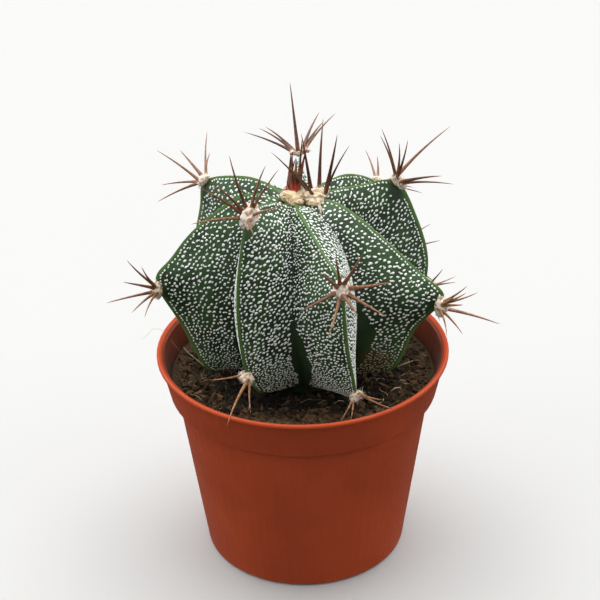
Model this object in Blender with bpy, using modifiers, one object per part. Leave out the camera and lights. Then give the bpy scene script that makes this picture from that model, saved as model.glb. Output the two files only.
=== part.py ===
"""A young potted monks hood cactus (Astrophytum ornatum) in a round plastic nursery pot.

The origin is the centre of the pot's base, with +Z up and the plant's front toward -Y.
Sizes below are in millimetres and degrees, and every mesh is made in metres.
"""
import math
import random
from collections import namedtuple

import bmesh
import bpy
from mathutils import Matrix, Vector, noise

MM = 0.001
GAP = 0.3
SHARP_ANGLE = 40
MERGE_DISTANCE = 0.00002

# Pot: a 10.5 cm moulded pot with a tapered wall, a wide collar and a thin lip
POT_HEIGHT = 80.0
POT_BASE_RADIUS = 36.9
POT_SHOULDER_RADIUS = 45.8
POT_COLLAR_FOOT_RADIUS = 48.4
POT_COLLAR_TOP_RADIUS = 51.4
POT_LIP_RADIUS = 52.5
POT_COLLAR_Z = 65.0
POT_LIP_HEIGHT = 1.4
POT_LIP_WIDTH = 1.7
POT_ROUND = 0.4
POT_FOOT_ROUND = 0.9
POT_WALL = 1.2
POT_FLOOR = 1.6
POT_SIDES = 72
DRAIN_HOLES = 5
DRAIN_RADIUS = 3.5
DRAIN_SIDES = 20
DRAIN_CIRCLE_RADIUS = 26.0

# Soil: fills the pot to 10 mm below the lip, with a plain round hole for the plant's neck
SOIL_Z = 69.5
SOIL_LUMP = 1.8
SOIL_LUMP_SPAN = 7.0
SOIL_CRUMB = 0.8
SOIL_CRUMB_SPAN = 2.8
SOIL_FLAT_EDGE = 1.0
SOIL_RINGS = 8

# Plant body: eight ribs round a sunken crown, drawn in to a short round neck in the soil
CROWN_Z = 137.5
CROWN_RING = (9.0, 140.3)
UNDER = (27.0, 74.5)
NECK_RADIUS = 15.0
NECK_TOP_Z = 71.0
NECK_END_Z = 59.0
FLANK_BULGE = 0.045
FLANK_STEPS = (0.0, 0.06, 0.3, 0.6, 0.86)
ROWS_PER_SPAN = (2, 2, 3, 4, 3, 3, 4, 3, 2)

# A rib's crest, as (out, up) from the base's centre at six places from the crown to the foot.
# Azimuth 0 faces -Y and grows toward +X. The turns bend the crest sideways at crown and foot.
Rib = namedtuple("Rib", "name azimuth crown_turn foot_turn top shoulder flank widest low foot")
RIBS = (
    Rib("front_left", -32, -2, 0, (19, 145), (31, 146.5), (37, 136.5), (40.5, 119), (39.5, 100), (35.5, 85)),
    Rib("front", 18, -15, 10, (17, 139), (30, 132), (38, 128), (43.5, 122), (42, 101), (38, 80)),
    Rib("right", 67, 0, 0, (19, 137), (33, 127), (43.5, 118.5), (52.5, 110.5), (42.5, 96), (35.5, 79)),
    Rib("back_right", 103, 0, 0, (20, 141), (34, 141), (41.5, 127), (46.3, 109), (44, 93), (37, 80)),
    Rib("back_low", 133, 0, 0, (22, 140.5), (36.5, 133), (43, 122), (46, 108), (43, 93), (36, 80)),
    Rib("back", 180, 0, 0, (20, 141), (34, 140), (41.5, 129), (47, 110), (43.5, 94), (36, 80)),
    Rib("back_left", -120, 0, 0, (20, 142.5), (38, 137.5), (41, 126), (44.5, 108), (42, 93), (36, 80)),
    Rib("left", -80, 0, 0, (20, 142), (36, 131.5), (45, 121), (51, 112), (43, 94), (35, 75)),
)

# The bottom of every groove, at the same places
GROOVE = ((0.0, CROWN_Z), (6.6, 138.6), (12.5, 137), (18, 132), (22.5, 124), (26.5, 112),
          (26.5, 97), (21, 84), (17, 76), (NECK_RADIUS, NECK_TOP_Z))

# How much of a rib's two turns acts at each place, from the crown's middle to the neck
CROWN_TURN_SHARE = (1.9, 1.9, 1.0, 0.25, 0.0, 0.0, 0.0, 0.0, 0.0, 0.0)
FOOT_TURN_SHARE = (0.0, 0.0, 0.0, 0.0, 0.0, 0.0, 0.3, 1.0, 1.1, 1.1)

# Wool and spines: a spine is (turn, lean, length), where turn 0 points up the crest to the crown
# and lean is measured from the direction that faces straight out
Bunch = namedtuple("Bunch", "name rib place face wool spines")
SPINE_THICKNESS = 0.038
SPINE_SIDES = 4
SPINE_MIDDLE = 0.5
SPINE_MIDDLE_SHARE = 0.62
SPINE_BEND = 0.03
WOOL_SEGMENTS = 10
WOOL_RINGS = 6
WOOL_SINK = 0.25
SEAT_GAP = 0.4
CROWN_WOOL_RISE = 1.2
ROOT_SPREAD = 0.5
BUNCHES = (
    Bunch("areole_left", "left", 5.2, 4, (3.4, 2.6, 2.3), (
        (-25, 55, 20), (-38, 70, 20), (-51, 49, 20), (-87, 23, 20), (-86, 58, 20), (-89, 71, 20))),
    Bunch("areole_front_left_high", "front_left", 3.12, 45, (4.4, 3.0, 2.5), (
        (15, 33, 22), (-35, 42, 22), (-42, 52, 22), (-82, 53, 22), (149, 35, 22), (93, 18, 22),
        (67, 10, 22), (-123, 45, 22))),
    Bunch("areole_front_left_low", "front_left", 6.9, -12, (2.4, 2.9, 2.0), (
        (49, 35, 15), (-72, 17, 27), (-118, 34, 14))),
    Bunch("areole_front", "front", 4.7, 22, (3.2, 2.9, 2.3), (
        (51, 40, 20), (23, 40, 20), (-16, 37, 20), (-80, 35, 20), (-135, 31, 20), (139, 50, 20),
        (99, 58, 20), (162, 14, 20))),
    Bunch("areole_front_low", "front", 7.0, -15, (2.0, 2.4, 1.8), (
        (113, 57, 11), (120, 38, 9), (-30, 25, 19), (-18, 33, 15))),
    Bunch("areole_right", "right", 5.3, 0, (4.2, 2.7, 2.3), (
        (29, 52, 19), (38, 51, 19), (28, 38, 19), (53, 51, 19), (-143, 14, 21), (91, 47, 19),
        (90, 64, 19), (44, 61, 19))),
    Bunch("areole_back_right_high", "back_right", 3.05, 38, (4.0, 2.8, 2.4), (
        (13, 73, 21), (4, 68, 21), (33, 54, 21), (-48, 3, 26), (88, 51, 21), (112, 47, 21),
        (32, 63, 21))),
    Bunch("areole_back_right_low", "back_right", 5.8, -5, (3.4, 2.6, 2.2), (
        (-37, 15, 13), (-68, 8, 13), (100, 60, 11), (160, 60, 12), (-150, 55, 11), (20, 65, 11))),
    Bunch("areole_back_low_high", "back_low", 3.2, 40, (3.2, 2.6, 2.2), (
        (-97, 55, 18), (-117, 51, 18), (170, 60, 16), (-165, 50, 16), (120, 70, 15))),
    Bunch("areole_back_low_low", "back_low", 5.5, 0, (3.4, 2.6, 2.2), None),
    Bunch("areole_back_high", "back", 3.05, 45, (4.0, 3.0, 2.4), (
        (-116, 60, 24), (-133, 51, 24), (-140, 48, 24), (-14, 24, 25), (146, 32, 24), (147, 42, 24),
        (123, 39, 24))),
    Bunch("areole_back_mid", "back", 5.4, 0, (3.4, 2.6, 2.2), None),
    Bunch("areole_back_left_high", "back_left", 3.05, 35, (3.8, 2.8, 2.3), (
        (-147, 8, 20), (123, 37, 20), (77, 50, 20), (175, 53, 20), (-167, 66, 20), (104, 66, 20))),
    Bunch("areole_back_left_low", "back_left", 6.0, -5, (3.2, 2.6, 2.2), (
        (0, 50, 13), (60, 55, 14), (120, 50, 14), (180, 55, 12), (-120, 50, 13), (-60, 55, 13))),
)
CROWN_BUNCHES = (
    Bunch("areole_crown_young", (-3.1, 0.5), None, 90, (4.3, 4.3, 3.0), (
        (0, -7, 15), (60, -7, 14), (120, -6, 16), (180, -7, 15), (240, -6, 14), (300, -7, 16))),
    Bunch("areole_crown_old", (6.3, 0.0), None, 90, (4.3, 4.3, 3.0), (
        (93, 8, 24), (-10, 24, 26), (-99, 11, 24), (-120, 25, 24), (106, 37, 24), (147, 41, 24))),
)
DRAWN_RING = 6
DRAWN_TURN = 14
DRAWN_MIDDLE_LEAN = 8
DRAWN_LEAN = (52, 70)
DRAWN_LENGTH = (17, 22)
DRAW_SEED = 8

SKIN = ("skin", (0.030, 0.075, 0.032), 0.5)
WOOL = ("wool_and_spines", (0.42, 0.30, 0.20), 0.8)
PLASTIC = ("pot_plastic", (0.46, 0.085, 0.035), 0.42)
SOIL = ("soil", (0.030, 0.018, 0.011), 0.95)


def clear_scene():
    for ob in list(bpy.data.objects):
        bpy.data.objects.remove(ob, do_unlink=True)


def make_collection(name, hidden=False):
    group = bpy.data.collections.new(name)
    bpy.context.scene.collection.children.link(group)
    group.hide_render = hidden
    return group


def make_material(look):
    name, colour, roughness = look
    material = bpy.data.materials.get(name)
    if material is None:
        material = bpy.data.materials.new(name)
        material.use_nodes = True
        shader = material.node_tree.nodes["Principled BSDF"]
        shader.inputs["Base Color"].default_value = (*colour, 1.0)
        shader.inputs["Roughness"].default_value = roughness
        shader.inputs["Metallic"].default_value = 0.0
    return material


def make_object(name, mesh, group, look=None):
    ob = bpy.data.objects.new(name, mesh)
    group.objects.link(ob)
    if look:
        mesh.materials.clear()
        mesh.materials.append(make_material(look))
    return ob


def mesh_from(name, verts, faces):
    """A mesh in metres from points in millimetres."""
    mesh = bpy.data.meshes.new(name)
    mesh.from_pydata([[c * MM for c in v] for v in verts], [], faces)
    mesh.validate()
    mesh.update()
    return mesh


def bake(ob):
    """Replace an object's mesh by what its modifiers make of it."""
    shape = ob.evaluated_get(bpy.context.evaluated_depsgraph_get())
    baked = bpy.data.meshes.new_from_object(shape)
    ob.modifiers.clear()
    ob.data = baked


def turn_profile(name, points, group, look):
    """A solid turned from (radius, height) points that run down the outside and up the inside."""
    pairs = [(i, (i + 1) % len(points)) for i in range(len(points))]
    edges = [(i, j) for i, j in pairs if points[i][0] > 0 or points[j][0] > 0]
    mesh = bpy.data.meshes.new(name)
    mesh.from_pydata([(r * MM, 0.0, z * MM) for r, z in points], edges, [])
    ob = make_object(name, mesh, group, look)
    screw = ob.modifiers.new("Turn", "SCREW")
    screw.steps = POT_SIDES
    screw.render_steps = POT_SIDES
    screw.use_merge_vertices = True
    screw.merge_threshold = MERGE_DISTANCE
    return ob


def mark_cutter(ob):
    ob.hide_render = True
    ob.display_type = "WIRE"


def boolean(ob, operation, group):
    cut = ob.modifiers.new(operation.title(), "BOOLEAN")
    cut.operation = operation
    cut.operand_type = "COLLECTION"
    cut.collection = group
    cut.solver = "EXACT"


def pot_inner_radius(z):
    """The inside of the pot's wall at a height, in the tapered wall or in the collar."""
    if z <= POT_COLLAR_Z - POT_WALL:
        share = z / POT_COLLAR_Z
        return POT_BASE_RADIUS + share * (POT_SHOULDER_RADIUS - POT_BASE_RADIUS) - POT_WALL
    share = (z - POT_COLLAR_Z) / (POT_HEIGHT - POT_COLLAR_Z)
    return POT_COLLAR_FOOT_RADIUS + share * (POT_COLLAR_TOP_RADIUS - POT_COLLAR_FOOT_RADIUS) - POT_WALL


def pot_profile():
    """The pot's cross section, down the outside to the axis and back up the inside."""
    lip_z = POT_HEIGHT - POT_LIP_HEIGHT
    ledge_z = POT_COLLAR_Z - POT_WALL
    lip_inside = POT_LIP_RADIUS - POT_LIP_WIDTH
    outside = [
        (POT_LIP_RADIUS - POT_LIP_WIDTH / 2, POT_HEIGHT),
        (POT_LIP_RADIUS - POT_ROUND / 2, POT_HEIGHT - POT_ROUND / 2),
        (POT_LIP_RADIUS, POT_HEIGHT - 1.5 * POT_ROUND),
        (POT_LIP_RADIUS, lip_z + POT_ROUND / 2),
        (POT_COLLAR_TOP_RADIUS, lip_z),
        (POT_COLLAR_FOOT_RADIUS, POT_COLLAR_Z),
        (POT_COLLAR_FOOT_RADIUS - POT_ROUND, POT_COLLAR_Z - POT_ROUND),
        (POT_SHOULDER_RADIUS, POT_COLLAR_Z - 2 * POT_ROUND),
        (POT_BASE_RADIUS + POT_WALL / 10, POT_FOOT_ROUND),
        (POT_BASE_RADIUS - POT_FOOT_ROUND, 0.0),
        (0.0, 0.0),
    ]
    inside = [
        (0.0, POT_FLOOR),
        (pot_inner_radius(POT_FLOOR) - POT_FOOT_ROUND, POT_FLOOR),
        (pot_inner_radius(POT_FLOOR + POT_FOOT_ROUND), POT_FLOOR + POT_FOOT_ROUND),
        (pot_inner_radius(ledge_z), ledge_z),
        (pot_inner_radius(POT_COLLAR_Z), POT_COLLAR_Z),
        (pot_inner_radius(lip_z), lip_z),
        (lip_inside, POT_HEIGHT - POT_ROUND),
    ]
    return outside + inside


def make_pot(parts, cutters):
    pot = turn_profile("pot", pot_profile(), parts, PLASTIC)
    for i in range(DRAIN_HOLES):
        angle = math.tau * (i + 0.5) / DRAIN_HOLES
        mesh = bpy.data.meshes.new("drain_hole")
        hole = bmesh.new()
        bmesh.ops.create_cone(hole, cap_ends=True, segments=DRAIN_SIDES, radius1=DRAIN_RADIUS * MM,
                              radius2=DRAIN_RADIUS * MM, depth=4 * POT_FLOOR * MM)
        hole.to_mesh(mesh)
        hole.free()
        cutter = make_object("drain_hole", mesh, cutters)
        cutter.location = Vector((math.cos(angle), math.sin(angle), 0.0)) * DRAIN_CIRCLE_RADIUS * MM
        mark_cutter(cutter)
    boolean(pot, "DIFFERENCE", cutters)


def soil_lump(x, y):
    """Height of the crumbly surface above its level, in millimetres."""
    coarse = noise.noise(Vector((x, y, 0.0)) / SOIL_LUMP_SPAN)
    fine = noise.noise(Vector((x, y, SOIL_Z)) / SOIL_CRUMB_SPAN)
    return SOIL_LUMP * coarse + SOIL_CRUMB * fine


def make_soil(parts):
    rim = pot_inner_radius(SOIL_Z) - GAP
    hole = NECK_RADIUS + GAP
    ledge_z = POT_COLLAR_Z - POT_WALL
    floor_z = POT_FLOOR + GAP
    corner = POT_FOOT_ROUND + GAP
    top = [(hole + (rim - hole) * i / SOIL_RINGS, SOIL_Z) for i in range(SOIL_RINGS + 1)]
    side = [
        (pot_inner_radius(POT_COLLAR_Z) - GAP, POT_COLLAR_Z + GAP),
        (pot_inner_radius(ledge_z) - GAP, ledge_z + 2 * GAP),
        (pot_inner_radius(floor_z + corner) - GAP, floor_z + corner),
        (pot_inner_radius(floor_z) - corner - GAP, floor_z),
        (0.0, floor_z),
    ]
    well = [(0.0, NECK_END_Z - GAP), (hole, NECK_END_Z - GAP)]
    soil = turn_profile("soil", top + side + well, parts, SOIL)
    bake(soil)
    for vert in soil.data.vertices:
        x, y, z = vert.co / MM
        out = math.hypot(x, y)
        on_top = abs(z - SOIL_Z) < GAP
        if on_top and hole + SOIL_FLAT_EDGE < out < rim - SOIL_FLAT_EDGE:
            vert.co.z += soil_lump(x, y) * MM


def rib_places(rib):
    """The crest's (out, up) at every place, from the crown's middle to the neck."""
    return ((0.0, CROWN_Z), CROWN_RING, rib.top, rib.shoulder, rib.flank, rib.widest, rib.low,
            rib.foot, UNDER, (NECK_RADIUS, NECK_TOP_Z))


def rib_azimuth(rib, k):
    return math.radians(rib.azimuth + rib.crown_turn * CROWN_TURN_SHARE[k]
                        + rib.foot_turn * FOOT_TURN_SHARE[k])


def at(azimuth, out, up):
    return Vector((out * math.sin(azimuth), -out * math.cos(azimuth), up))


def crest_places(rib):
    return [at(rib_azimuth(rib, k), *place) for k, place in enumerate(rib_places(rib))]


def groove_places(rib, following):
    """The bottom of the groove between a rib and the next one round."""
    points = []
    for k, place in enumerate(GROOVE):
        first = rib_azimuth(rib, k)
        step = (rib_azimuth(following, k) - first) % math.tau
        points.append(at(first + step / 2, *place))
    return points


def smooth(points, s):
    """A point on the smooth curve through the places, at place number s."""
    k = min(int(s), len(points) - 2)
    t = s - k
    before = points[max(k - 1, 0)]
    one = points[k]
    two = points[k + 1]
    after = points[min(k + 2, len(points) - 1)]
    start = (two - before) * 0.5
    end = (after - one) * 0.5
    if k == 0:
        start = two - one
    a = one * (2 * t**3 - 3 * t**2 + 1) + start * (t**3 - 2 * t**2 + t)
    return a + two * (3 * t**2 - 2 * t**3) + end * (t**3 - t**2)


def flank_point(crest, groove, share):
    """A point on the slightly full flank between a crest and a groove."""
    chord = groove - crest
    across = Vector((chord.y, -chord.x, 0.0))
    middle = crest + chord * share
    if across.dot(Vector((middle.x, middle.y, 0.0))) < 0:
        across = -across
    return middle + across * FLANK_BULGE * 4 * share * (1 - share)


def body_ring(crests, grooves, s):
    """One closed ring of points round the body at place number s."""
    ring = []
    count = len(RIBS)
    for i in range(count):
        crest = smooth(crests[i], s)
        following = smooth(crests[(i + 1) % count], s)
        groove = smooth(grooves[i], s)
        ring += [flank_point(crest, groove, share) for share in FLANK_STEPS]
        ring.append(groove)
        ring += [flank_point(following, groove, share) for share in reversed(FLANK_STEPS[1:])]
    return ring


def body_rows():
    """Place numbers of the rings, leaving out the crown's middle."""
    rows = []
    for k, count in enumerate(ROWS_PER_SPAN):
        rows += [k + (i + 1) / count for i in range(count)]
    return rows


def make_body(parts, seats):
    crests = [crest_places(rib) for rib in RIBS]
    grooves = [groove_places(rib, RIBS[(i + 1) % len(RIBS)]) for i, rib in enumerate(RIBS)]
    rings = [body_ring(crests, grooves, s) for s in body_rows()]
    rings.append([Vector((p.x, p.y, NECK_END_Z)) for p in rings[-1]])
    size = len(rings[0])
    verts = [Vector((0.0, 0.0, CROWN_Z))]
    for ring in rings:
        verts += ring
    verts.append(Vector((0.0, 0.0, NECK_END_Z)))
    last = len(verts) - 1
    faces = []
    for i in range(size):
        j = (i + 1) % size
        faces.append((0, 1 + i, 1 + j))
        for row in range(len(rings) - 1):
            high = 1 + row * size
            low = high + size
            faces.append((high + i, low + i, low + j, high + j))
        foot = last - size
        faces.append((last, foot + j, foot + i))
    body = make_object("cactus_body", mesh_from("cactus_body", verts, faces), parts, SKIN)
    boolean(body, "DIFFERENCE", seats)
    return crests


def ellipsoid(name, half_sizes, frame, group, look=None):
    mesh = bpy.data.meshes.new(name)
    ball = bmesh.new()
    bmesh.ops.create_uvsphere(ball, u_segments=WOOL_SEGMENTS, v_segments=WOOL_RINGS, radius=MM)
    bmesh.ops.transform(ball, matrix=Matrix.Diagonal((*half_sizes, 1.0)), verts=ball.verts)
    bmesh.ops.transform(ball, matrix=frame, verts=ball.verts)
    ball.to_mesh(mesh)
    ball.free()
    return make_object(name, mesh, group, look)


def make_spine(name, root, direction, sag, length, group):
    """A slender tapering spine, slightly bowed, rooted in the middle of its wool."""
    side = direction.cross(sag).normalized()
    lift = side.cross(direction).normalized()
    middle = root + direction * length * SPINE_MIDDLE + lift * length * SPINE_BEND
    verts = []
    thick = length * SPINE_THICKNESS
    for centre, radius in ((root, thick), (middle, thick * SPINE_MIDDLE_SHARE)):
        for i in range(SPINE_SIDES):
            angle = math.tau * (i + 0.5) / SPINE_SIDES
            verts.append(centre + (side * math.cos(angle) + lift * math.sin(angle)) * radius)
    tip = len(verts)
    verts.append(root + direction * length)
    faces = [tuple(reversed(range(SPINE_SIDES)))]
    for i in range(SPINE_SIDES):
        j = (i + 1) % SPINE_SIDES
        faces.append((i, j, SPINE_SIDES + j, SPINE_SIDES + i))
        faces.append((SPINE_SIDES + i, SPINE_SIDES + j, tip))
    make_object(name, mesh_from(name, verts, faces), group)


def bunch_axes(bunch, crests):
    """Where a bunch sits, the direction that it faces and the way up its crest."""
    if bunch.place is None:
        x, y = bunch.rib
        return Vector((x, y, CROWN_Z + CROWN_WOOL_RISE)), Vector((0, 0, 1)), Vector((0, 1, 0))
    names = [rib.name for rib in RIBS]
    index = names.index(bunch.rib)
    seat = smooth(crests[index], bunch.place)
    flat = Vector((seat.x, seat.y, 0.0)).normalized()
    face = math.radians(bunch.face)
    out = flat * math.cos(face) + Vector((0, 0, math.sin(face)))
    up = Vector((0, 0, math.cos(face))) - flat * math.sin(face)
    return seat, out, up


def drawn_spines(draw):
    """Spines for a bunch that the front view doesn't show: a ring of them and one in the middle."""
    spines = [(0, DRAWN_MIDDLE_LEAN, DRAWN_LENGTH[1])]
    for i in range(DRAWN_RING):
        turn = 360 * i / DRAWN_RING + draw.uniform(-DRAWN_TURN, DRAWN_TURN)
        spines.append((turn, draw.uniform(*DRAWN_LEAN), draw.uniform(*DRAWN_LENGTH)))
    return spines


def make_bunch(bunch, crests, parts, seats, draw):
    seat, out, up = bunch_axes(bunch, crests)
    side = out.cross(up)
    centre = seat + out * WOOL_SINK * bunch.wool[2]
    frame = Matrix((up, side, out)).transposed().to_4x4()
    frame.translation = centre * MM
    wool = ellipsoid(bunch.name, bunch.wool, frame, parts, WOOL)
    cutter = ellipsoid("seat", [half + SEAT_GAP for half in bunch.wool], frame, seats)
    mark_cutter(cutter)
    spines = make_collection(bunch.name + "_spines")
    for turn, lean, length in bunch.spines or drawn_spines(draw):
        turn = math.radians(turn)
        lean = math.radians(lean)
        tilt = up * math.cos(turn) + side * math.sin(turn)
        direction = out * math.cos(lean) + tilt * math.sin(lean)
        root = centre + tilt * ROOT_SPREAD * bunch.wool[1]
        make_spine("spine", root, direction, out, length, spines)
    boolean(wool, "UNION", spines)
    bake(wool)
    for ob in list(spines.objects):
        bpy.data.objects.remove(ob, do_unlink=True)
    bpy.data.collections.remove(spines)


def shade(parts):
    for ob in parts.objects:
        for face in ob.data.polygons:
            face.use_smooth = True
        ob.data.set_sharp_from_angle(angle=math.radians(SHARP_ANGLE))


def main():
    clear_scene()
    parts = make_collection("potted_monks_hood_cactus")
    drains = make_collection("drain_cutters", hidden=True)
    seats = make_collection("seat_cutters", hidden=True)
    make_pot(parts, drains)
    make_soil(parts)
    crests = make_body(parts, seats)
    draw = random.Random(DRAW_SEED)
    for bunch in BUNCHES + CROWN_BUNCHES:
        make_bunch(bunch, crests, parts, seats, draw)
    shade(parts)


main()
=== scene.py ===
"""Looks of a potted monks hood cactus: skin, felt flecks, wool, spines, pot, soil and studio.

It is laid out as an add-on and run as a script. Everything is in the packed model's frame:
metres, +Z up, the plant's front toward -Y. Sizes in the tables below are in millimetres.
"""
import random
from collections import namedtuple
from math import cos, exp, hypot, pi, radians, sin, sqrt, tau

import bmesh
import bpy
import numpy as np
from bpy.props import FloatProperty, FloatVectorProperty, IntProperty, PointerProperty
from bpy.types import NodeSocket, Operator, Panel, PropertyGroup
from mathutils import Matrix, Vector
from mathutils.bvhtree import BVHTree
from mathutils.noise import noise


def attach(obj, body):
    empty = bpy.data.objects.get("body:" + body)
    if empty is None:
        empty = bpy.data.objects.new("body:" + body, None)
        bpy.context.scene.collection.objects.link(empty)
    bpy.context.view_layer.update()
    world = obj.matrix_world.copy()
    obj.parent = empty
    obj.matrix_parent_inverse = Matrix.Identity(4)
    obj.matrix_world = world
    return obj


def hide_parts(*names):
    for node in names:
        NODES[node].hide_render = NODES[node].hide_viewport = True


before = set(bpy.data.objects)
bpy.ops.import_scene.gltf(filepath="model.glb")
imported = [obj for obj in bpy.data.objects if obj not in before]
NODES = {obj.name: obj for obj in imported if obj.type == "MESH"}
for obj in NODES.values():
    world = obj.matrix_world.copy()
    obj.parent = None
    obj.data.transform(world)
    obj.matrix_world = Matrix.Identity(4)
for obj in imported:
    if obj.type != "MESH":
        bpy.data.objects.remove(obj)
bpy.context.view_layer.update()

bl_info = {
    "name": "Potted Monks Hood Cactus",
    "version": (1, 0, 0),
    "blender": (4, 5, 0),
    "location": "3D View > Sidebar > Cactus",
    "description": "Dresses the packed cactus with skin, flecks, wool, spines, pot, soil and light",
    "category": "Object",
}

MM = 0.001

# Body: the same ribs as the solid's, as (out, up) at places from the crown to the neck
CROWN_Z = 137.5
NECK = (15.0, 71.0)
NECK_END_Z = 59.4
CROWN_RING = (9.0, 140.3)
UNDER = (27.0, 74.5)
FLANK_BULGE = 0.045
Rib = namedtuple("Rib", "name azimuth crown_turn foot_turn top shoulder flank widest low foot")
RIBS = (
    Rib("front_left", -32, -2, 0, (19, 145), (31, 146.5), (37, 136.5), (40.5, 119), (39.5, 100), (35.5, 85)),
    Rib("front", 18, -15, 10, (17, 139), (30, 132), (38, 128), (43.5, 122), (42, 101), (38, 80)),
    Rib("right", 67, 0, 0, (19, 137), (33, 127), (43.5, 118.5), (52.5, 110.5), (42.5, 96), (35.5, 79)),
    Rib("back_right", 103, 0, 0, (20, 141), (34, 141), (41.5, 127), (46.3, 109), (44, 93), (37, 80)),
    Rib("back_low", 133, 0, 0, (22, 140.5), (36.5, 133), (43, 122), (46, 108), (43, 93), (36, 80)),
    Rib("back", 180, 0, 0, (20, 141), (34, 140), (41.5, 129), (47, 110), (43.5, 94), (36, 80)),
    Rib("back_left", -120, 0, 0, (20, 142.5), (38, 137.5), (41, 126), (44.5, 108), (42, 93), (36, 80)),
    Rib("left", -80, 0, 0, (20, 142), (36, 131.5), (45, 121), (51, 112), (43, 94), (35, 75)),
)
GROOVE = ((0.0, CROWN_Z), (6.6, 138.6), (12.5, 137), (18, 132), (22.5, 124), (26.5, 112),
          (26.5, 97), (21, 84), (17, 76), NECK)
CROWN_TURN_SHARE = (1.9, 1.9, 1.0, 0.25, 0.0, 0.0, 0.0, 0.0, 0.0, 0.0)
FOOT_TURN_SHARE = (0.0, 0.0, 0.0, 0.0, 0.0, 0.0, 0.3, 1.0, 1.1, 1.1)
SPAN_ROWS = (3, 4, 5, 7, 6, 6, 7, 5, 3)
# Columns of points on a flank: the first stand this far from the crest, the rest at these shares
LIP_REACHES = ((0.4, 0.02), (0.85, 0.045), (1.3, 0.07), (1.8, 0.1))
FLANK_SHARES = (0.18, 0.3, 0.44, 0.58, 0.71, 0.83, 0.93)
LIP_RISE = 0.45
LIP_REACH = 1.6
SLIM_RIB = "back"
SLIM_BULGE = 0.2
# Green band left free along a crest, from its line to the row of flecks beside it
BEAD_REACH = {"front": 1.2, "front_left": 1.25}
BEAD_REACH_USUAL = 1.65
CREST_BAND = 1.3
# Corky scars: a point on the skin and how far each reaches
SCARS = (((25.3, -15.1, 82.5), 11), ((23.1, -11.6, 76), 10), ((45.2, -18.6, 108.5), 2.4),
         ((42.5, -19.5, 112.5), 1.8),
         ((0, 37, 80), 10), ((-36, 22, 78), 9), ((-20, -23, 78), 7))

# Flecks: the grid laid over a flank, the places where it starts and ends, how near it comes to the
# groove, and the number of points drawn on it
GRID_ROWS = 120
GRID_COLUMNS = 24
FIRST_PLACE = 1.1
LAST_PLACE = 8.2
LAST_SHARE = 0.97
FLECK_DRAWS = 10500
# Bare strip beside a lower groove: the place where it starts, and the share of the flank left at its widest
BARE_STRIPS = {("front", -1): (5.2, 0.75), ("right", -1): (5.1, 0.66), ("left", 1): (5.6, 0.78),
               ("front", 1): (6.5, 0.96)}
BARE_STRIP = (5.2, 0.88)
# Spacing and size of the flecks on the flanks that aren't like the rest
FELTED_FLANK = ("front", 1)
FLANK_FLECKS = {FELTED_FLANK: (0.74, 1.35), ("front", -1): (0.86, 1.14), ("front_left", 1): (0.94, 1.2),
                ("front_left", -1): (0.85, 1.13), ("right", -1): (1.06, 1.0)}
USUAL_FLECKS = (1.0, 1.0)
# How much closer the flecks stand low on the body, and by the grooves high on it
LOW_SQUEEZE = 0.34
GROOVE_SQUEEZE = 0.26
FLECK_SIDES = 6
FLECK_HEIGHT = 0.2
# The close row beside a crest: its first and last place, its usual step and its flecks' size
BEAD_PLACES = (1.3, 7.7)
BEAD_STEP = 1.3
BEAD_SIZE = 1.05
# Share of the flecks that have a twin beside them
TWIN_SHARE = 0.28
# Flecks are looked up in cells of this size, wider than any spacing
CELL = 2.2
Fleck = namedtuple("Fleck", "spot along size turn slim")

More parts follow.
